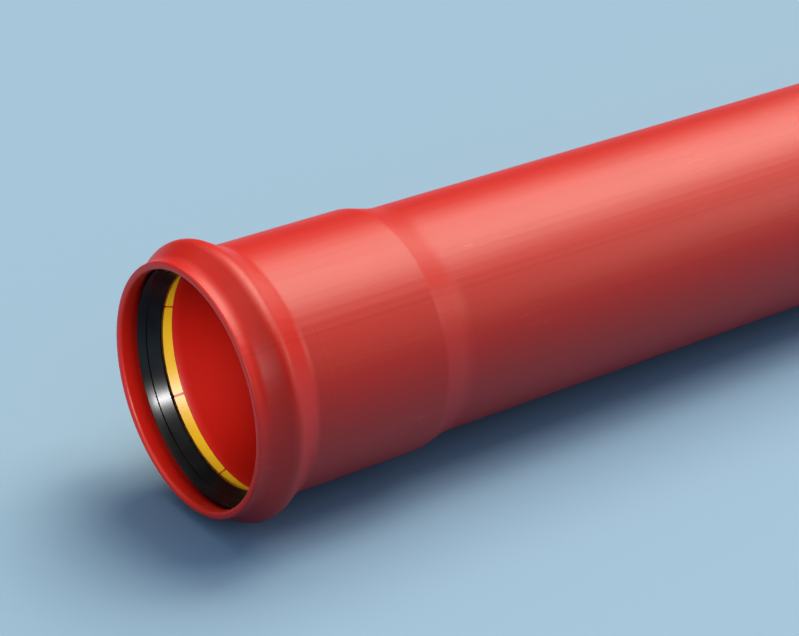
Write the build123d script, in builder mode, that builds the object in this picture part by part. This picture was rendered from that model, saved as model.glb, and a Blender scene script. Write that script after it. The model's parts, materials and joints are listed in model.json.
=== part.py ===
from build123d import *
import math
import os

# Cable conduit: a plastic pipe with a push-fit socket formed on one end, a rubber lip seal in the
# socket's bead and a plastic ring that keeps the seal in place.
# It lies on a level floor, on the bead and on the plain end, so its axis slopes a little.
# Profiles are drawn along the axis: x is the distance from the mouth, y is the radius.
# Lengths are in millimetres and angles in degrees.

# Pipe
pipe_diameter = 110.0
pipe_wall = 3.2
laying_length = 1000.0  # from the bottom of the socket to the plain end
spigot_taper_length = 6.0
spigot_taper_angle = 15.0

# Socket
socket_clearance = 0.6  # round a pipe pushed into it
socket_depth = 102.4
shoulder_length = 15.2
shoulder_entry_radius = 10.0
shoulder_exit_radius = 38.0

# Rim of the mouth, a little thicker than the pipe
rim_clearance = 0.8  # round a pipe pushed into it
rim_wall = 3.8
rim_outer_edge = 1.3
rim_inner_edge = 1.6
rim_land = 0.5  # flat stretch between the rim's inner edge and the bead

# Bead that holds the seal
bead_height = 7.0  # above the socket
bead_crest_radius = 6.9
bead_front_angle = 34.5
bead_rear_angle = 29.6
bead_front_foot_radius = 8.0
bead_rear_foot_radius = 9.0

# Lip seal, whose back fills the bead
seat_gap = 0.2  # between the loose parts and what they seat on
seal_front_height = 4.3  # of its front edge, above the bore of the rim
seal_heel_length = 2.5  # along the bead's rear flank
ridge_setback = 0.2  # of the ridge's root, from the seal's front edge
ridge_root_clearance = 0.9  # round a pipe pushed in
ridge_tip_setback = 2.15  # from the seal's front edge
ridge_interference = 0.8  # with a pipe pushed in
notch_setback = 0.4  # from the ridge's tip
notch_depth = 0.8
lip_interference = 3.35
lip_lead = 0.35  # of the lip's tip, ahead of the seal's back
lip_thickness = 0.9

# Retaining ring: a hoop behind the seal with fingers that lie on the bead's rear flank
ring_rear_edge = 0.9
ring_lead_in = 3.6  # gained by the bore from the rear edge to the front
ring_hoop_length = 1.2
slot_count = 8
slot_width = 1.2
slot_start_angle = 13.4

# Radii worked out from these sizes
pipe_radius = pipe_diameter / 2
pipe_bore = pipe_radius - pipe_wall
socket_bore = pipe_radius + socket_clearance
socket_radius = socket_bore + pipe_wall
rim_bore = pipe_radius + rim_clearance
rim_radius = rim_bore + rim_wall
bead_radius = socket_radius + bead_height
bead_centre = bead_radius - bead_crest_radius
groove_radius = bead_crest_radius - pipe_wall
seated_radius = groove_radius - seat_gap
spigot_end_radius = pipe_radius - spigot_taper_length * math.tan(math.radians(spigot_taper_angle))
total_length = socket_depth + laying_length
taper_start = total_length - spigot_taper_length
shoulder_end = socket_depth + shoulder_length

# The bead's flanks are straight lines tangent to arcs about the bead's centre
front_slope = math.tan(math.radians(bead_front_angle))
rear_slope = math.tan(math.radians(bead_rear_angle))
front_stretch = 1 / math.cos(math.radians(bead_front_angle))
rear_stretch = 1 / math.cos(math.radians(bead_rear_angle))

# The bead stands as near to the mouth as the rim's inner edge, its land and the bead's foot allow
groove_foot_radius = bead_front_foot_radius + pipe_wall
groove_start = rim_inner_edge + rim_land + groove_foot_radius * math.tan(math.radians(bead_front_angle) / 2)
groove_rise = bead_centre + groove_radius * front_stretch - rim_bore
bead_position = groove_start + groove_rise / front_slope


def front_flank_at(arc_radius, level):
    # Point of the front flank at this radius from the pipe's axis
    drop = bead_centre + arc_radius * front_stretch - level
    return (bead_position - drop / front_slope, level)


def rear_flank_at(arc_radius, level):
    # Point of the rear flank at this radius from the pipe's axis
    drop = bead_centre + arc_radius * rear_stretch - level
    return (bead_position + drop / rear_slope, level)


def rear_flank_level(arc_radius, distance):
    # Radius of the rear flank at this distance from the mouth
    return bead_centre + arc_radius * rear_stretch - (distance - bead_position) * rear_slope


def arc_point(arc_radius, angle):
    # Point of an arc about the bead's centre, at this angle from its top towards the rear
    turn = math.radians(angle)
    return (bead_position + arc_radius * math.sin(turn), bead_centre + arc_radius * math.cos(turn))


def flank_peak(arc_radius):
    # Point above the arc where its two flanks meet
    offset = arc_radius * (rear_stretch - front_stretch) / (front_slope + rear_slope)
    return (bead_position + offset, bead_centre + arc_radius * front_stretch + offset * front_slope)


# Lying on the floor: the bead's arc and the edge of the spigot's taper are equally low
support_span = taper_start - bead_position
support_rise = bead_centre - pipe_radius
slope_angle = math.atan2(support_rise, support_span)
slope_angle += math.asin(bead_crest_radius / math.hypot(support_span, support_rise))
slope_sine = math.sin(slope_angle)
slope_cosine = math.cos(slope_angle)

# Mouth's centre, with the floor at z = 0 and the whole pipe centred along x
mouth_low_x = (1 - slope_cosine) * rim_outer_edge + (rim_radius - rim_outer_edge) * slope_sine
spigot_high_x = total_length * slope_cosine + spigot_end_radius * slope_sine
mouth_x = (mouth_low_x - spigot_high_x) / 2
mouth_z = bead_position * slope_sine + bead_centre * slope_cosine + bead_crest_radius
mouth = Vector(mouth_x, 0, mouth_z)
along = Vector(slope_cosine, 0, -slope_sine)
pipe_axis = Axis(mouth, along)
profile_plane = Plane(origin=mouth, x_dir=along, z_dir=(0, -1, 0))

# Conduit: pipe, shoulder, socket, bead and rim, turned as one piece
mouth_inside = (0, rim_bore)
mouth_outside = (0, rim_radius)
front_foot = front_flank_at(bead_crest_radius, rim_radius)
bead_peak = flank_peak(bead_crest_radius)
rear_foot = rear_flank_at(bead_crest_radius, socket_radius)
shoulder_top = (socket_depth, socket_radius)
shoulder_foot = (shoulder_end, pipe_radius)
taper_edge = (taper_start, pipe_radius)
spigot_outside = (total_length, spigot_end_radius)
spigot_inside = (total_length, pipe_bore)
bore_start = (shoulder_end, pipe_bore)
socket_stop = (socket_depth, socket_bore)
groove_rear = rear_flank_at(groove_radius, socket_bore)
groove_peak = flank_peak(groove_radius)
groove_front = (groove_start, rim_bore)

conduit_corners = [
    mouth_inside, mouth_outside, front_foot, bead_peak, rear_foot, shoulder_top, shoulder_foot, taper_edge,
    spigot_outside, spigot_inside, bore_start, socket_stop, groove_rear, groove_peak, groove_front,
]
conduit_rounds = [
    (mouth_inside, rim_inner_edge),
    (mouth_outside, rim_outer_edge),
    (front_foot, bead_front_foot_radius),
    (bead_peak, bead_crest_radius),
    (rear_foot, bead_rear_foot_radius),
    (shoulder_top, shoulder_entry_radius),
    (shoulder_foot, shoulder_exit_radius),
    (bore_start, shoulder_exit_radius + pipe_wall),
    (socket_stop, shoulder_entry_radius - pipe_wall),
    (groove_rear, bead_rear_foot_radius + pipe_wall),
    (groove_peak, groove_radius),
    (groove_front, groove_foot_radius),
]

with BuildPart() as conduit:
    with BuildSketch(profile_plane) as conduit_profile:
        with BuildLine():
            Polyline(*conduit_corners, close=True)
        make_face()
        for corner, radius in conduit_rounds:
            fillet(conduit_profile.vertices().sort_by_distance(corner)[0], radius)
    revolve(axis=pipe_axis)

# Lip seal: a ridge and a long lip stand from its body into the socket
seal_front = front_flank_at(seated_radius, rim_bore + seal_front_height)
seal_crown_front = arc_point(seated_radius, -bead_front_angle)
seal_crown_rear = arc_point(seated_radius, bead_rear_angle)
seal_back = seal_crown_rear[0] + seal_heel_length
seal_back_outside = (seal_back, rear_flank_level(seated_radius, seal_back))
seal_back_inside = (seal_back, socket_bore)
lip_rear = (seal_back - lip_lead, pipe_radius - lip_interference)
lip_front = (lip_rear[0] - lip_thickness, pipe_radius - lip_interference)
ridge_tip = (seal_front[0] + ridge_tip_setback, pipe_radius - ridge_interference)
notch = (ridge_tip[0] + notch_setback, ridge_tip[1] + notch_depth)
ridge_root = (seal_front[0] + ridge_setback, pipe_radius + ridge_root_clearance)
seal_corners = [
    seal_front, seal_crown_front, seal_crown_rear, seal_back_outside, seal_back_inside,
    lip_rear, lip_front, notch, ridge_tip, ridge_root,
]

with BuildPart() as seal_ring:
    with BuildSketch(profile_plane):
        with BuildLine():
            Polyline(*seal_corners, close=True)
        make_face()
    revolve(axis=pipe_axis)

# Retaining ring: turned as a wedge with a lead-in, then slotted from its rear edge up to the hoop
ring_front = seal_back + seat_gap
ring_rear_outside = rear_flank_at(seated_radius, socket_bore + ring_rear_edge)
ring_rear = ring_rear_outside[0]
ring_rear_inside = (ring_rear, socket_bore)
ring_front_inside = (ring_front, socket_bore + ring_lead_in)
ring_front_outside = (ring_front, rear_flank_level(seated_radius, ring_front))
ring_corners = [ring_front_inside, ring_front_outside, ring_rear_outside, ring_rear_inside]
slot_length = ring_rear - ring_front - ring_hoop_length
slot_cut = 4 * (ring_front_outside[1] - socket_bore)  # across the ring and past both its faces
ring_back_plane = Plane(origin=mouth + along * ring_rear, x_dir=(0, 1, 0), z_dir=along)

with BuildPart() as retaining_ring:
    with BuildSketch(profile_plane):
        with BuildLine():
            Polyline(*ring_corners, close=True)
        make_face()
    revolve(axis=pipe_axis)
    with BuildSketch(ring_back_plane):
        with PolarLocations(socket_bore, slot_count, start_angle=slot_start_angle):
            Rectangle(slot_cut, slot_width)
    extrude(amount=-slot_length, mode=Mode.SUBTRACT)

os.makedirs("parts", exist_ok=True)
conduit.part.label = "conduit"
export_step(conduit.part, "parts/conduit.step")
retaining_ring.part.label = "retaining_ring"
export_step(retaining_ring.part, "parts/retaining_ring.step")
seal_ring.part.label = "seal_ring"
export_step(seal_ring.part, "parts/seal_ring.step")

print(f"slope {math.degrees(slope_angle):.4f} degrees, mouth at x {mouth_x:.3f}, z {mouth_z:.3f}")
print(f"bead at {bead_position:.3f}, feet {front_foot[0]:.2f} and {rear_foot[0]:.2f}, length {total_length:.1f}")
print(f"seal from {seal_front[0]:.2f} to {seal_back:.2f}, ring from {ring_front:.2f} to {ring_rear:.2f}")
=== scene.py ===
import json
import math

import bmesh
import bpy
from mathutils import Matrix, Quaternion, Vector


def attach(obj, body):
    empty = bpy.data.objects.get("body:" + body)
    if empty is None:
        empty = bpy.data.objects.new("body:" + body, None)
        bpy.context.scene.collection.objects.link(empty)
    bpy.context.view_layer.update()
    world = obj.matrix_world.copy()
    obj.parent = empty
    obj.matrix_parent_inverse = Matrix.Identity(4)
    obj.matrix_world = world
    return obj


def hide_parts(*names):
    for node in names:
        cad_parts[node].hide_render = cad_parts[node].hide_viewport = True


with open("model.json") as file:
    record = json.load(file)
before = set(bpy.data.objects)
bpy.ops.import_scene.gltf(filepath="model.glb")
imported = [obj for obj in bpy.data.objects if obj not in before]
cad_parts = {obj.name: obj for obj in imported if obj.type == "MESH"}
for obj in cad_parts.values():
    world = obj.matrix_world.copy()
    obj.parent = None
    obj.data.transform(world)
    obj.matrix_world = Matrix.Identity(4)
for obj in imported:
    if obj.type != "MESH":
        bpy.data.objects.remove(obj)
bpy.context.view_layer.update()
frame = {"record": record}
mm = 0.001
imageWidth = 799  # pixels
weldDistance = 0.01  # mm, for points that two sections share
mounts = {mount["name"]: mount for mount in frame["record"]["mounts"]}

# pipe frame: x along the conduit from the centre of the socket's mouth, z up, as the CAD lays it on the floor
mouthCentre = Vector(mounts["socket"]["pos_m"])
pipeAlong = -Vector(mounts["socket"]["axis"])
pipeAcross = Vector((0, 1, 0))
pipeUp = pipeAlong.cross(pipeAcross)
pipeTurn = Matrix((pipeAlong, pipeAcross, pipeUp)).transposed().to_4x4()
pipePlace = Matrix.Translation(mouthCentre) @ pipeTurn
pipeRadius = mounts["spigot"]["dims"]["r_mm"]
pipeBore = mounts["bore"]["dims"]["r_mm"]
pipeWall = pipeRadius - pipeBore
print("frame loaded, mouth at", [round(v, 4) for v in mouthCentre])


def linearColour(code):
    # sRGB hex to the linear colour that the shaders take
    parts = [int(code[i:i + 2], 16) / 255 for i in (1, 3, 5)]
    return [p / 12.92 if p <= 0.04045 else ((p + 0.055) / 1.055) ** 2.4 for p in parts] + [1.0]


def addNode(tree, kind, settings=None, values=None, links=None):
    # values and links go to inputs by name, or by number where a node's input names repeat
    node = tree.nodes.new(kind)
    for name, value in (settings or {}).items():
        setattr(node, name, value)
    for name, value in (values or {}).items():
        node.inputs[name].default_value = value
    for name, socket in (links or {}).items():
        tree.links.new(socket, node.inputs[name])
    return node


# numbers of the Mix node's sockets, whose names repeat
mixFactor = 0
numberA = 2
numberB = 3
colourA = 6
colourB = 7
mixedNumber = 0
mixedColour = 2


def newMaterial(name):
    material = bpy.data.materials.new(name)
    material.use_nodes = True
    material.node_tree.nodes.clear()
    return material, material.node_tree


def roundCorners(corners, stepAngle=6):
    # each corner is (x, radius from the axis, rounding); rounded ones become arcs, in steps of some degrees
    points = []
    for i, (x, y, rounding) in enumerate(corners):
        here = Vector((x, y))
        if not rounding:
            points.append(here)
            continue
        back = (Vector(corners[i - 1][:2]) - here).normalized()
        ahead = (Vector(corners[(i + 1) % len(corners)][:2]) - here).normalized()
        halfAngle = back.angle(ahead) / 2
        centre = here + (back + ahead).normalized() * rounding / math.sin(halfAngle)
        start = here + back * rounding / math.tan(halfAngle) - centre
        turn = start.angle_signed(here + ahead * rounding / math.tan(halfAngle) - centre)
        steps = max(2, math.ceil(abs(math.degrees(turn)) / stepAngle))
        for k in range(steps + 1):
            points.append(centre + Matrix.Rotation(-turn * k / steps, 2) @ start)
    return points


def turnRing(name, sections, sharpAngle=28):
    # sections is a list of (angle, profile) round the pipe's axis, all with as many points, closed both ways
    count = len(sections[0][1])
    places = []
    for angle, profile in sections:
        for x, r in profile:
            places.append((x * mm, r * mm * math.cos(angle), r * mm * math.sin(angle)))
    faces = []
    for i in range(len(sections)):
        j = (i + 1) % len(sections)
        for k in range(count):
            m = (k + 1) % count
            faces.append((i * count + k, i * count + m, j * count + m, j * count + k))
    mesh = bpy.data.meshes.new(name)
    mesh.from_pydata(places, [], faces)
    build = bmesh.new()
    build.from_mesh(mesh)
    # slots end where two sections meet
    bmesh.ops.remove_doubles(build, verts=build.verts, dist=weldDistance * mm)
    bmesh.ops.recalc_face_normals(build, faces=build.faces)
    build.to_mesh(mesh)
    build.free()
    mesh.transform(pipePlace)
    mesh.shade_smooth()
    mesh.set_sharp_from_angle(angle=math.radians(sharpAngle))
    piece = bpy.data.objects.new(name, mesh)
    bpy.context.scene.collection.objects.link(piece)
    return piece


def evenSections(profile, segments):
    return [(2 * math.pi * i / segments, profile) for i in range(segments)]


# Conduit: the pipe, its socket, bead and rim, sizes in mm and angles in degrees
conduitSizes = {
    "socketClearance": 0.6, "socketDepth": 102.4, "shoulderLength": 15.2,
    "shoulderEntryRadius": 10.0, "shoulderExitRadius": 38.0,
    "layingLength": 1000.0, "taperLength": 6.0, "taperAngle": 15.0, "cutEdge": 0.25,
    "rimClearance": 0.8, "rimWall": 3.8, "rimOuterEdge": 1.3, "rimInnerEdge": 1.6, "rimLand": 0.5,
    "beadHeight": 7.0, "crestRadius": 6.9, "frontAngle": 34.5, "rearAngle": 29.6,
    "frontFootRadius": 8.0, "rearFootRadius": 9.0, "segments": 240,
}
socketBore = pipeRadius + conduitSizes["socketClearance"]
socketRadius = socketBore + pipeWall
rimBore = pipeRadius + conduitSizes["rimClearance"]
rimRadius = rimBore + conduitSizes["rimWall"]
beadCentre = socketRadius + conduitSizes["beadHeight"] - conduitSizes["crestRadius"]
grooveRadius = conduitSizes["crestRadius"] - pipeWall
frontAngle = math.radians(conduitSizes["frontAngle"])
rearAngle = math.radians(conduitSizes["rearAngle"])
frontSlope = math.tan(frontAngle)
rearSlope = math.tan(rearAngle)
frontStretch = 1 / math.cos(frontAngle)
rearStretch = 1 / math.cos(rearAngle)
grooveFoot = conduitSizes["frontFootRadius"] + pipeWall
landEnd = conduitSizes["rimInnerEdge"] + conduitSizes["rimLand"]
grooveStart = landEnd + grooveFoot * math.tan(frontAngle / 2)
grooveRise = beadCentre + grooveRadius * frontStretch - rimBore
beadPosition = grooveStart + grooveRise / frontSlope


# the bead's flanks are straight and touch arcs about the bead's centre; the first two give a flank's place
# along the pipe at a radius from its axis, the third the rear flank's radius at a place
def frontFlank(arcRadius, level):
    return beadPosition - (beadCentre + arcRadius * frontStretch - level) / frontSlope


def rearFlank(arcRadius, level):
    return beadPosition + (beadCentre + arcRadius * rearStretch - level) / rearSlope


def rearLevel(arcRadius, x):
    return beadCentre + arcRadius * rearStretch - (x - beadPosition) * rearSlope


def flankPeak(arcRadius):
    # where the two flanks would meet above the arc
    offset = arcRadius * (rearStretch - frontStretch) / (frontSlope + rearSlope)
    return beadPosition + offset, beadCentre + arcRadius * frontStretch + offset * frontSlope


def buildConduit():
    sizes = conduitSizes
    crest = sizes["crestRadius"]
    socketEnd = sizes["socketDepth"]
    shoulderEnd = socketEnd + sizes["shoulderLength"]
    length = socketEnd + sizes["layingLength"]
    endRadius = pipeRadius - sizes["taperLength"] * math.tan(math.radians(sizes["taperAngle"]))
    corners = [
        (0, rimBore, sizes["rimInnerEdge"]),
        (0, rimRadius, sizes["rimOuterEdge"]),
        (frontFlank(crest, rimRadius), rimRadius, sizes["frontFootRadius"]),
        (*flankPeak(crest), crest),
        (rearFlank(crest, socketRadius), socketRadius, sizes["rearFootRadius"]),
        (socketEnd, socketRadius, sizes["shoulderEntryRadius"]),
        (shoulderEnd, pipeRadius, sizes["shoulderExitRadius"]),
        (length - sizes["taperLength"], pipeRadius, sizes["cutEdge"]),
        (length, endRadius, sizes["cutEdge"]),
        (length, pipeBore, sizes["cutEdge"]),
        (shoulderEnd, pipeBore, sizes["shoulderExitRadius"] + pipeWall),
        (socketEnd, socketBore, sizes["shoulderEntryRadius"] - pipeWall),
        (rearFlank(grooveRadius, socketBore), socketBore, sizes["rearFootRadius"] + pipeWall),
        (*flankPeak(grooveRadius), grooveRadius),
        (grooveStart, rimBore, grooveFoot),
    ]
    return turnRing("conduit_pipe", evenSections(roundCorners(corners), sizes["segments"]))


# Lip seal: its back fills the bead, a wiper edge stands towards the mouth, and a ridge and a long lip
# stand into the socket, all sizes in mm
sealSizes = {
    "seatGap": 0.2, "frontHeight": 3.8, "heelLength": 2.5, "frontEdge": 0.15, "heelEdge": 0.4,
    "wiperLead": 1.9, "wiperClearance": 1.5, "wiperRound": 0.3,
    "ridgeTipSetback": 1.74, "ridgeInterference": 0.8, "ridgeTipRound": 0.35,
    "notchSetback": 0.7, "notchDepth": 0.89, "notchRound": 0.2,
    "lipInterference": 3.2, "lipLead": 0.89, "lipThickness": 0.9, "lipTipRound": 0.4, "segments": 240,
}
seatedRadius = grooveRadius - sealSizes["seatGap"]
sealBack = beadPosition + seatedRadius * math.sin(rearAngle) + sealSizes["heelLength"]


def buildSeal():
    sizes = sealSizes
    frontLevel = rimBore + sizes["frontHeight"]
    sealFront = frontFlank(seatedRadius, frontLevel)
    ridge = (sealFront + sizes["ridgeTipSetback"], pipeRadius - sizes["ridgeInterference"])
    lipLevel = pipeRadius - sizes["lipInterference"]
    lipRear = sealBack - sizes["lipLead"]
    corners = [
        (sealFront, frontLevel, sizes["frontEdge"]),
        (*flankPeak(seatedRadius), seatedRadius),
        (sealBack, rearLevel(seatedRadius, sealBack), 0),
        (sealBack, socketBore, sizes["heelEdge"]),
        (lipRear, lipLevel, sizes["lipTipRound"]),
        (lipRear - sizes["lipThickness"], lipLevel, sizes["lipTipRound"]),
        (ridge[0] + sizes["notchSetback"], ridge[1] + sizes["notchDepth"], sizes["notchRound"]),
        (*ridge, sizes["ridgeTipRound"]),
        (sealFront - sizes["wiperLead"], pipeRadius + sizes["wiperClearance"], sizes["wiperRound"]),
    ]
    return turnRing("seal_ring_rubber", evenSections(roundCorners(corners), sizes["segments"]))


# Retaining ring: a hoop behind the seal with fingers that lie on the bead's rear flank, sizes in mm,
# the first slot's angle in degrees
ringSizes = {
    "rearEdge": 0.9, "leadIn": 3.6, "hoopLength": 1.2,
    "slots": 8, "slotWidth": 1.2, "slotStart": 13.4, "stepsBetweenSlots": 24,
}


def buildRetainingRing():
    sizes = ringSizes
    ringFront = sealBack + sealSizes["seatGap"]
    ringRear = rearFlank(seatedRadius, socketBore + sizes["rearEdge"])
    slotFront = ringFront + sizes["hoopLength"]
    leadSlope = sizes["leadIn"] / (ringRear - ringFront)
    front = (ringFront, socketBore + sizes["leadIn"])
    inner = (slotFront, socketBore + (ringRear - slotFront) * leadSlope)
    slotRoot = (slotFront, rearLevel(seatedRadius, slotFront))
    top = (ringFront, rearLevel(seatedRadius, ringFront))
    rear = [(ringRear, socketBore), (ringRear, socketBore + sizes["rearEdge"])]
    finger = [front, inner, *rear, slotRoot, top]
    hoop = [front, inner, inner, slotRoot, slotRoot, top]
    pitch = 2 * math.pi / sizes["slots"]
    halfSlot = sizes["slotWidth"] / 2 / socketBore
    fingerSpan = pitch - 2 * halfSlot
    steps = sizes["stepsBetweenSlots"]
    sections = []
    for i in range(sizes["slots"]):
        middle = math.radians(sizes["slotStart"]) + i * pitch
        sections += [(middle - halfSlot, finger), (middle - halfSlot, hoop)]
        sections += [(middle + halfSlot, hoop), (middle + halfSlot, finger)]
        for k in range(1, steps):
            sections.append((middle + halfSlot + fingerSpan * k / steps, finger))
    return turnRing("retaining_ring_yellow", sections)


conduit = buildConduit()
retainingRing = buildRetainingRing()
seal = buildSeal()
print("pieces turned:", [(o.name, len(o.data.polygons)) for o in (conduit, retainingRing, seal)])


def pipeCoordinates(tree):
    # a point's place on the pipe: along it from the mouth, round it from the near side and along its
    # profile, and whether the point is on an outside
    place = addNode(tree, "ShaderNodeTexCoord")
    local = addNode(
        tree, "ShaderNodeMapping", {"vector_type": "TEXTURE"},
        {"Location": mouthCentre, "Rotation": pipePlace.to_euler()},
        {"Vector": place.outputs["Object"]},
    )
    parts = addNode(tree, "ShaderNodeSeparateXYZ", links={"Vector": local.outputs["Vector"]})
    near = addNode(tree, "ShaderNodeMath", {"operation": "MULTIPLY"}, {1: -1.0}, {0: parts.outputs["Y"]})
    angle = addNode(
        tree, "ShaderNodeMath", {"operation": "ARCTAN2"},
        links={0: parts.outputs["Z"], 1: near.outputs["Value"]},
    )
    arc = addNode(
        tree, "ShaderNodeMath", {"operation": "MULTIPLY"},
        {1: pipeRadius * mm}, {0: angle.outputs["Value"]},
    )
    unrolled = addNode(
        tree, "ShaderNodeCombineXYZ", links={"X": parts.outputs["X"], "Y": arc.outputs["Value"]},
    )
    # the profile's coordinate changes along every turned face, across the pipe as well as along it
    flat = addNode(
        tree, "ShaderNodeVectorMath", {"operation": "MULTIPLY"},
        {1: (0.0, 1.0, 1.0)}, {0: local.outputs["Vector"]},
    )
    radius = addNode(
        tree, "ShaderNodeVectorMath", {"operation": "LENGTH"}, links={0: flat.outputs["Vector"]},
    )
    profile = addNode(
        tree, "ShaderNodeMath", {"operation": "ADD"},
        links={0: parts.outputs["X"], 1: radius.outputs["Value"]},
    )
    surface = addNode(tree, "ShaderNodeNewGeometry")
    facing = addNode(
        tree, "ShaderNodeVectorMath", {"operation": "DOT_PRODUCT"},
        links={0: flat.outputs["Vector"], 1: surface.outputs["Normal"]},
    )
    outside = addNode(
        tree, "ShaderNodeMath", {"operation": "GREATER_THAN"}, {1: 0.0}, {0: facing.outputs["Value"]},
    )
    return {
        "point": local.outputs["Vector"], "along": parts.outputs["X"], "arc": arc.outputs["Value"],
        "unrolled": unrolled.outputs["Vector"], "profile": profile.outputs["Value"],
        "outside": outside.outputs["Value"],
    }


# Extruded PVC-U: drawn through a die and the socket formed warm, so the red is satin with a soft broad sheen,
# fine lengthwise die lines that break the sheen up, a slight orange peel and a few handling scuffs.
# The plain end is turned to its taper, so it is duller there, with rings.
# Pattern sizes and heights in mm, turns in radians; a die line is its angle above the near side in degrees,
# its width and how plain it is.
pvcLook = {
    "colour": "#CF1C10", "deep": "#C6180D", "roughness": 0.42, "roughnessSpread": 0.05, "ior": 1.53,
    "cloudSize": 45.0, "streakLength": 350.0, "streakWidth": 2.6, "streakHeight": 0.12,
    "peelSize": 2.2, "peelHeight": 0.006,
    "dieLines": ((37.2, 2.4, 0.9), (40.4, 2.0, 0.6), (66.8, 1.8, 0.4), (69.0, 2.0, 0.7), (71.0, 1.6, 0.5)),
    "dieLineDepth": 0.02, "dieLineColour": "#BA150B",
    "formingMark": 40.0, "formingMarkWidth": 2.4, "formingMarkHeight": 0.02,
    "scuffColour": "#D8473B", "scuffLength": 60.0, "scuffWidth": 22.0, "scuffTurn": 0.35,
    "scuffEdges": (0.6, 0.72),
    "scratchLength": 9.0, "scratchWidth": 0.7, "scratchTurn": 0.5, "scratchEdges": (0.55, 0.7),
    "turnedEdge": 0.1, "turnedPitch": 0.35, "turnedHeight": 0.02, "turnedRoughness": 0.58,
}


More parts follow.
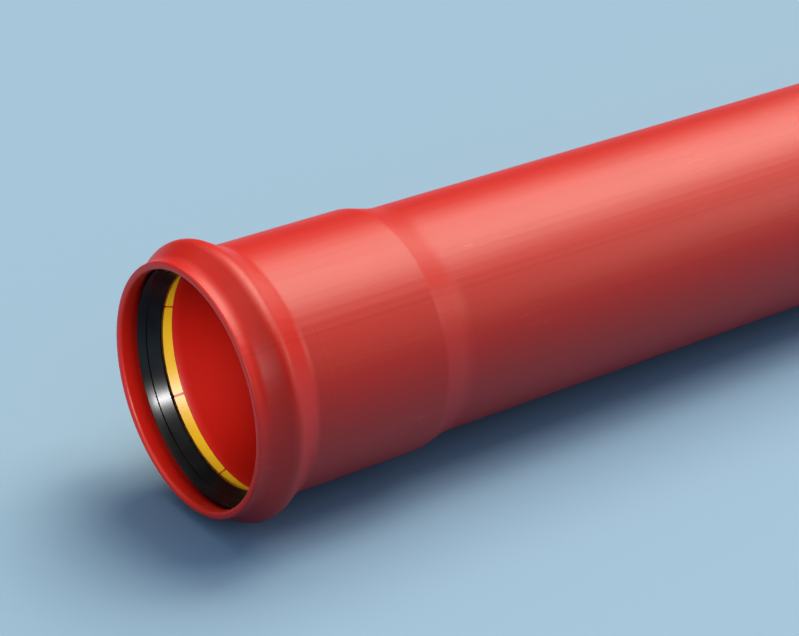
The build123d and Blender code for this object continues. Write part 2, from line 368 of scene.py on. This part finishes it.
def pvcMaterial():
    material, tree = newMaterial("extrudedPvcURed")
    look = pvcLook
    pipe = pipeCoordinates(tree)
    clouds = addNode(
        tree, "ShaderNodeTexNoise",
        values={"Scale": 1 / (look["cloudSize"] * mm), "Detail": 3.0},
        links={"Vector": pipe["point"]},
    )
    streakScale = (1 / (look["streakLength"] * mm), 1 / (look["streakWidth"] * mm), 1.0)
    streakPlace = addNode(
        tree, "ShaderNodeMapping", values={"Scale": streakScale}, links={"Vector": pipe["unrolled"]},
    )
    streaks = addNode(
        tree, "ShaderNodeTexNoise",
        values={"Scale": 1.0, "Detail": 3.0, "Roughness": 0.6},
        links={"Vector": streakPlace.outputs["Vector"]},
    )
    peel = addNode(
        tree, "ShaderNodeTexNoise",
        values={"Scale": 1 / (look["peelSize"] * mm), "Detail": 2.0},
        links={"Vector": pipe["point"]},
    )

    # die lines, on the outside only
    lines = None
    for degrees, width, plainness in look["dieLines"]:
        off = addNode(
            tree, "ShaderNodeMath", {"operation": "SUBTRACT"},
            {1: math.radians(degrees) * pipeRadius * mm}, {0: pipe["arc"]},
        )
        gap = addNode(tree, "ShaderNodeMath", {"operation": "ABSOLUTE"}, links={0: off.outputs["Value"]})
        line = addNode(
            tree, "ShaderNodeMapRange", {"interpolation_type": "SMOOTHSTEP"},
            {"From Max": width / 2 * mm, "To Min": plainness, "To Max": 0.0},
            {"Value": gap.outputs["Value"]},
        )
        if lines:
            line = addNode(
                tree, "ShaderNodeMath", {"operation": "MAXIMUM"},
                links={0: lines.outputs[0], 1: line.outputs[0]},
            )
        lines = line
    lines = addNode(
        tree, "ShaderNodeMath", {"operation": "MULTIPLY"},
        links={0: lines.outputs[0], 1: pipe["outside"]},
    )
    broken = addNode(
        tree, "ShaderNodeMath", {"operation": "MULTIPLY"},
        links={0: lines.outputs["Value"], 1: streaks.outputs["Fac"]},
    )

    # ring left behind the bead when the socket was formed
    markOff = addNode(
        tree, "ShaderNodeMath", {"operation": "SUBTRACT"},
        {1: look["formingMark"] * mm}, {0: pipe["along"]},
    )
    markGap = addNode(tree, "ShaderNodeMath", {"operation": "ABSOLUTE"}, links={0: markOff.outputs["Value"]})
    markRise = addNode(
        tree, "ShaderNodeMapRange", {"interpolation_type": "SMOOTHSTEP"},
        {"From Max": look["formingMarkWidth"] / 2 * mm, "To Min": 1.0, "To Max": 0.0},
        {"Value": markGap.outputs["Value"]},
    )
    mark = addNode(
        tree, "ShaderNodeMath", {"operation": "MULTIPLY"},
        links={0: markRise.outputs["Result"], 1: pipe["outside"]},
    )

    # scuffs: patches of short fine scratches
    patchScale = (1 / (look["scuffLength"] * mm), 1 / (look["scuffWidth"] * mm), 1.0)
    patchPlace = addNode(
        tree, "ShaderNodeMapping",
        values={"Scale": patchScale, "Rotation": (0.0, 0.0, look["scuffTurn"])},
        links={"Vector": pipe["unrolled"]},
    )
    patches = addNode(
        tree, "ShaderNodeTexNoise",
        values={"Scale": 1.0, "Detail": 2.0},
        links={"Vector": patchPlace.outputs["Vector"]},
    )
    scratchScale = (1 / (look["scratchLength"] * mm), 1 / (look["scratchWidth"] * mm), 1.0)
    scratchPlace = addNode(
        tree, "ShaderNodeMapping",
        values={"Scale": scratchScale, "Rotation": (0.0, 0.0, look["scratchTurn"])},
        links={"Vector": pipe["unrolled"]},
    )
    scratches = addNode(
        tree, "ShaderNodeTexNoise",
        values={"Scale": 1.0, "Detail": 2.0},
        links={"Vector": scratchPlace.outputs["Vector"]},
    )
    patchMask = addNode(
        tree, "ShaderNodeMapRange",
        values={"From Min": look["scuffEdges"][0], "From Max": look["scuffEdges"][1]},
        links={"Value": patches.outputs["Fac"]},
    )
    scratchMask = addNode(
        tree, "ShaderNodeMapRange",
        values={"From Min": look["scratchEdges"][0], "From Max": look["scratchEdges"][1]},
        links={"Value": scratches.outputs["Fac"]},
    )
    scratched = addNode(
        tree, "ShaderNodeMath", {"operation": "MULTIPLY"},
        links={0: patchMask.outputs["Result"], 1: scratchMask.outputs["Result"]},
    )
    scuffs = addNode(
        tree, "ShaderNodeMath", {"operation": "MULTIPLY"},
        links={0: scratched.outputs["Value"], 1: pipe["outside"]},
    )

    # turned taper and end face
    taperStart = conduitSizes["socketDepth"] + conduitSizes["layingLength"] - conduitSizes["taperLength"]
    taperStart *= mm
    taperFade = look["turnedEdge"] * mm
    turned = addNode(
        tree, "ShaderNodeMapRange",
        values={"From Min": taperStart - taperFade, "From Max": taperStart + taperFade},
        links={"Value": pipe["along"]},
    )
    rings = addNode(
        tree, "ShaderNodeTexNoise", {"noise_dimensions": "1D"},
        {"Scale": 1 / (look["turnedPitch"] * mm), "Detail": 1.0}, {"W": pipe["profile"]},
    )
    ringHeight = addNode(
        tree, "ShaderNodeMath", {"operation": "MULTIPLY"},
        links={0: rings.outputs["Fac"], 1: turned.outputs["Result"]},
    )

    mottled = addNode(
        tree, "ShaderNodeMix", {"data_type": "RGBA"},
        {colourA: linearColour(look["deep"]), colourB: linearColour(look["colour"])},
        {mixFactor: clouds.outputs["Fac"]},
    )
    lined = addNode(
        tree, "ShaderNodeMix", {"data_type": "RGBA"}, {colourB: linearColour(look["dieLineColour"])},
        {mixFactor: broken.outputs["Value"], colourA: mottled.outputs[mixedColour]},
    )
    scuffed = addNode(
        tree, "ShaderNodeMix", {"data_type": "RGBA"}, {colourB: linearColour(look["scuffColour"])},
        {mixFactor: scuffs.outputs["Value"], colourA: lined.outputs[mixedColour]},
    )
    spread = look["roughnessSpread"]
    satin = addNode(
        tree, "ShaderNodeMapRange",
        values={"To Min": look["roughness"] - spread, "To Max": look["roughness"] + spread},
        links={"Value": streaks.outputs["Fac"]},
    )
    roughness = addNode(
        tree, "ShaderNodeMix", values={numberB: look["turnedRoughness"]},
        links={mixFactor: turned.outputs["Result"], numberA: satin.outputs["Result"]},
    )
    relief = None
    for height, depth, dips in (
        (streaks.outputs["Fac"], look["streakHeight"], False),
        (peel.outputs["Fac"], look["peelHeight"], False),
        (lines.outputs["Value"], look["dieLineDepth"], True),
        (mark.outputs["Value"], look["formingMarkHeight"], False),
        (ringHeight.outputs["Value"], look["turnedHeight"], False),
    ):
        links = {"Height": height}
        if relief:
            links["Normal"] = relief.outputs["Normal"]
        relief = addNode(tree, "ShaderNodeBump", {"invert": dips}, {"Distance": depth * mm}, links)
    shader = addNode(
        tree, "ShaderNodeBsdfPrincipled", values={"IOR": look["ior"]},
        links={
            "Base Color": scuffed.outputs[mixedColour],
            "Roughness": roughness.outputs[mixedNumber],
            "Normal": relief.outputs["Normal"],
        },
    )
    addNode(tree, "ShaderNodeOutputMaterial", links={"Surface": shader.outputs["BSDF"]})
    return material


# Moulded rubber: near black and satin from a turned mould, so its glints break up into fine rings,
# with a faint grey bloom in patches. Pattern sizes and heights in mm.
rubberLook = {
    "colour": "#0B0C0F", "bloom": "#17181A", "bloomSize": 14.0, "bloomEdges": (0.5, 0.75),
    "roughness": 0.25, "roughnessDrop": 0.05, "roughnessRise": 0.07, "ior": 1.52, "specular": 0.28,
    "ringPitch": 0.5, "ringHeight": 0.006, "grainSize": 0.5, "grainHeight": 0.004,
}


def rubberMaterial():
    material, tree = newMaterial("mouldedRubberBlack")
    look = rubberLook
    pipe = pipeCoordinates(tree)
    patches = addNode(
        tree, "ShaderNodeTexNoise",
        values={"Scale": 1 / (look["bloomSize"] * mm), "Detail": 3.0},
        links={"Vector": pipe["point"]},
    )
    rings = addNode(
        tree, "ShaderNodeTexNoise", {"noise_dimensions": "1D"},
        {"Scale": 1 / (look["ringPitch"] * mm), "Detail": 1.0}, {"W": pipe["profile"]},
    )
    grain = addNode(
        tree, "ShaderNodeTexNoise",
        values={"Scale": 1 / (look["grainSize"] * mm), "Detail": 2.0},
        links={"Vector": pipe["point"]},
    )
    bloomed = addNode(
        tree, "ShaderNodeMapRange",
        values={"From Min": look["bloomEdges"][0], "From Max": look["bloomEdges"][1]},
        links={"Value": patches.outputs["Fac"]},
    )
    colour = addNode(
        tree, "ShaderNodeMix", {"data_type": "RGBA"},
        {colourA: linearColour(look["colour"]), colourB: linearColour(look["bloom"])},
        {mixFactor: bloomed.outputs["Result"]},
    )
    smoothest = look["roughness"] - look["roughnessDrop"]
    roughest = look["roughness"] + look["roughnessRise"]
    satin = addNode(
        tree, "ShaderNodeMapRange", values={"To Min": smoothest, "To Max": roughest},
        links={"Value": patches.outputs["Fac"]},
    )
    ringed = addNode(
        tree, "ShaderNodeBump", values={"Distance": look["ringHeight"] * mm},
        links={"Height": rings.outputs["Fac"]},
    )
    relief = addNode(
        tree, "ShaderNodeBump", values={"Distance": look["grainHeight"] * mm},
        links={"Height": grain.outputs["Fac"], "Normal": ringed.outputs["Normal"]},
    )
    shader = addNode(
        tree, "ShaderNodeBsdfPrincipled",
        values={"IOR": look["ior"], "Specular IOR Level": look["specular"]},
        links={
            "Base Color": colour.outputs[mixedColour],
            "Roughness": satin.outputs["Result"],
            "Normal": relief.outputs["Normal"],
        },
    )
    addNode(tree, "ShaderNodeOutputMaterial", links={"Surface": shader.outputs["BSDF"]})
    return material


# Moulded polypropylene: a warm saturated yellow with a waxy sheen, faint flow clouds and a fine eroded grain
# that keeps the sheen soft. Pattern sizes and heights in mm.
ringLook = {
    "colour": "#FBC81A", "deep": "#F3B50F", "roughness": 0.36, "roughnessSpread": 0.05, "ior": 1.49,
    "flowSize": 9.0, "flowDistortion": 0.6, "grainSize": 0.45, "grainHeight": 0.006,
}


def ringMaterial():
    material, tree = newMaterial("mouldedPolypropyleneYellow")
    look = ringLook
    pipe = pipeCoordinates(tree)
    flow = addNode(
        tree, "ShaderNodeTexNoise",
        values={"Scale": 1 / (look["flowSize"] * mm), "Detail": 2.0, "Distortion": look["flowDistortion"]},
        links={"Vector": pipe["point"]},
    )
    grain = addNode(
        tree, "ShaderNodeTexNoise",
        values={"Scale": 1 / (look["grainSize"] * mm), "Detail": 2.0},
        links={"Vector": pipe["point"]},
    )
    colour = addNode(
        tree, "ShaderNodeMix", {"data_type": "RGBA"},
        {colourA: linearColour(look["deep"]), colourB: linearColour(look["colour"])},
        {mixFactor: flow.outputs["Fac"]},
    )
    spread = look["roughnessSpread"]
    waxy = addNode(
        tree, "ShaderNodeMapRange",
        values={"To Min": look["roughness"] - spread, "To Max": look["roughness"] + spread},
        links={"Value": flow.outputs["Fac"]},
    )
    relief = addNode(
        tree, "ShaderNodeBump", values={"Distance": look["grainHeight"] * mm},
        links={"Height": grain.outputs["Fac"]},
    )
    shader = addNode(
        tree, "ShaderNodeBsdfPrincipled", values={"IOR": look["ior"]},
        links={
            "Base Color": colour.outputs[mixedColour],
            "Roughness": waxy.outputs["Result"],
            "Normal": relief.outputs["Normal"],
        },
    )
    addNode(tree, "ShaderNodeOutputMaterial", links={"Surface": shader.outputs["BSDF"]})
    return material


for piece, material, node, slotName in (
    (conduit, pvcMaterial(), "conduit", "red_pvc"),
    (seal, rubberMaterial(), "seal_ring", "black_rubber"),
    (retainingRing, ringMaterial(), "retaining_ring", "yellow_pp"),
):
    piece.data.materials.append(material)
    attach(piece, "root")
    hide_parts(node)
print("materials set")

# Floor: plain and pale to the eye and in reflections, darker in the light that it throws back on the pieces,
# size in metres
floorLook = {"colour": "#9CBAD0", "bounce": "#5F8BA4", "size": 80.0, "roughness": 0.8, "specular": 0.2}


def buildFloor():
    half = floorLook["size"] / 2
    corners = [(-half, -half, 0), (half, -half, 0), (half, half, 0), (-half, half, 0)]
    mesh = bpy.data.meshes.new("floor")
    mesh.from_pydata(corners, [], [(0, 1, 2, 3)])
    floor = bpy.data.objects.new("floor", mesh)
    bpy.context.scene.collection.objects.link(floor)
    material, tree = newMaterial("paleFloor")
    path = addNode(tree, "ShaderNodeLightPath")
    seen = addNode(
        tree, "ShaderNodeMath", {"operation": "MAXIMUM"},
        links={0: path.outputs["Is Camera Ray"], 1: path.outputs["Is Glossy Ray"]},
    )
    seenThrough = addNode(
        tree, "ShaderNodeMath", {"operation": "MAXIMUM"},
        links={0: seen.outputs["Value"], 1: path.outputs["Is Transmission Ray"]},
    )
    colour = addNode(
        tree, "ShaderNodeMix", {"data_type": "RGBA"},
        {colourA: linearColour(floorLook["bounce"]), colourB: linearColour(floorLook["colour"])},
        {mixFactor: seenThrough.outputs["Value"]},
    )
    shader = addNode(
        tree, "ShaderNodeBsdfPrincipled",
        values={"Roughness": floorLook["roughness"], "Specular IOR Level": floorLook["specular"]},
        links={"Base Color": colour.outputs[mixedColour]},
    )
    addNode(tree, "ShaderNodeOutputMaterial", links={"Surface": shader.outputs["BSDF"]})
    mesh.materials.append(material)
    return floor


floor = buildFloor()

# Studio light: large far soft lights over the whole stage, soft boxes round the conduit, and a narrow spot
# that looks into the socket from the camera's side. The boxes and the spot light the pieces alone, so that
# they leave no bright pool on the floor, and a cool soft light fills the shadow on the floor alone.
litPieces = bpy.data.collections.new("piecesLitFromNear")
for piece in (conduit, seal, retainingRing):
    litPieces.objects.link(piece)
litFloor = bpy.data.collections.new("floorLitAlone")
litFloor.objects.link(floor)

lampColour = "#FFF9E9"
# direction to each light, its apparent width in degrees, watts per square metre and what it lights
farLights = {
    "overhead": {
        "toward": (0.70, 0.28, 1.09), "width": 44.0, "strength": 2.12, "colour": lampColour, "lights": None,
    },
    "overheadFront": {
        "toward": (0.60, -0.25, 1.14), "width": 34.0, "strength": 1.22, "colour": lampColour, "lights": None,
    },
    "behind": {
        "toward": (0.10, 0.80, 0.94), "width": 34.0, "strength": 0.3, "colour": lampColour, "lights": None,
    },
    "shadowFill": {
        "toward": (-0.35, -0.75, 0.55), "width": 120.0, "strength": 1.6, "colour": "#B9DAFF",
        "lights": litFloor,
    },
}
for name, lamp in farLights.items():
    data = bpy.data.lights.new(name, "SUN")
    data.angle = math.radians(lamp["width"])
    data.energy = lamp["strength"]
    data.color = linearColour(lamp["colour"])[:3]
    light = bpy.data.objects.new(name, data)
    light.rotation_euler = (-Vector(lamp["toward"])).to_track_quat("-Z", "Y").to_euler()
    light.light_linking.receiver_collection = lamp["lights"]
    bpy.context.scene.collection.objects.link(light)

# places and sizes in metres, power in watts
boxAim = (-0.40, 0.0, 0.06)
softBoxes = {
    "overMouth": {"place": (-0.60, -0.05, 1.20), "size": (0.6, 0.6), "power": 2.0},
    "front": {"place": (-1.60, 0.20, 0.80), "size": (1.4, 0.9), "power": 5.6},
    "fill": {"place": (-1.30, -1.10, 0.70), "size": (1.6, 1.0), "power": 1.0},
    "right": {"place": (1.10, -1.00, 0.80), "size": (0.7, 0.7), "power": 6.0},
    "low": {"place": (0.60, -1.30, 0.45), "size": (0.6, 0.5), "power": 1.5},
    "far": {"place": (0.90, 0.10, 0.90), "size": (0.7, 0.7), "power": 0.9},
    "farLow": {"place": (0.90, 0.55, 0.38), "size": (0.6, 0.5), "power": 1.8},
}
for name, lamp in softBoxes.items():
    data = bpy.data.lights.new(name, "AREA")
    data.shape = "RECTANGLE"
    data.size, data.size_y = lamp["size"]
    data.energy = lamp["power"]
    data.color = linearColour(lampColour)[:3]
    light = bpy.data.objects.new(name, data)
    light.location = lamp["place"]
    light.rotation_euler = (Vector(boxAim) - Vector(lamp["place"])).to_track_quat("-Z", "Y").to_euler()
    light.light_linking.receiver_collection = litPieces
    bpy.context.scene.collection.objects.link(light)

# the spot's cone is narrowed to one side and rolled, so that it fills the mouth; metres, degrees and watts
mouthLamp = {
    "toward": (-0.535, -0.724, 0.436), "distance": 1.5, "aim": (-0.545, 0.022, 0.056),
    "cone": 5.1, "blend": 1.0, "narrow": 0.75, "roll": 12.0, "radius": 0.02, "power": 80.0,
}
mouthToward = Vector(mouthLamp["toward"])
mouthRoll = Quaternion((0, 0, 1), math.radians(mouthLamp["roll"]))
data = bpy.data.lights.new("mouth", "SPOT")
data.spot_size = math.radians(mouthLamp["cone"])
data.spot_blend = mouthLamp["blend"]
data.shadow_soft_size = mouthLamp["radius"]
data.energy = mouthLamp["power"]
light = bpy.data.objects.new("mouth", data)
light.location = Vector(mouthLamp["aim"]) + mouthToward.normalized() * mouthLamp["distance"]
light.rotation_euler = ((-mouthToward).to_track_quat("-Z", "Y") @ mouthRoll).to_euler()
light.scale = (mouthLamp["narrow"], 1, 1)
light.light_linking.receiver_collection = litPieces
bpy.context.scene.collection.objects.link(light)

worldLook = {"colour": "#DCE6EE", "strength": 0.02}
world = bpy.data.worlds.new("studio")
bpy.context.scene.world = world
world.use_nodes = True
world.node_tree.nodes.clear()
sky = addNode(
    world.node_tree, "ShaderNodeBackground",
    values={"Color": linearColour(worldLook["colour"]), "Strength": worldLook["strength"]},
)
addNode(world.node_tree, "ShaderNodeOutputWorld", links={"Surface": sky.outputs["Background"]})

# Camera: fitted to the photograph, in the pipe frame, degrees and mm from the centre of the mouth
cameraFit = {
    "azimuth": -36.473, "elevation": 25.824, "distance": 1172.28, "right": 95.185, "up": 32.757,
    "focalPixels": 2640.9, "sensor": 36.0,
}


def buildCamera():
    turn = math.radians(cameraFit["azimuth"])
    rise = math.radians(cameraFit["elevation"])
    back = Vector((math.sin(turn) * math.cos(rise), -math.cos(turn) * math.cos(rise), math.sin(rise)))
    right = Vector((math.cos(turn), math.sin(turn), 0))
    up = back.cross(right)
    place = (back * cameraFit["distance"] + right * cameraFit["right"] + up * cameraFit["up"]) * mm
    looking = Matrix((right, up, back)).transposed().to_4x4()
    data = bpy.data.cameras.new("camera")
    data.sensor_width = cameraFit["sensor"]
    data.lens = cameraFit["focalPixels"] / imageWidth * cameraFit["sensor"]
    camera = bpy.data.objects.new("camera", data)
    bpy.context.scene.collection.objects.link(camera)
    camera.matrix_world = pipePlace @ Matrix.Translation(place) @ looking
    bpy.context.scene.camera = camera


buildCamera()
bpy.context.scene.view_settings.view_transform = "Standard"
print("stage, lamps and camera set")
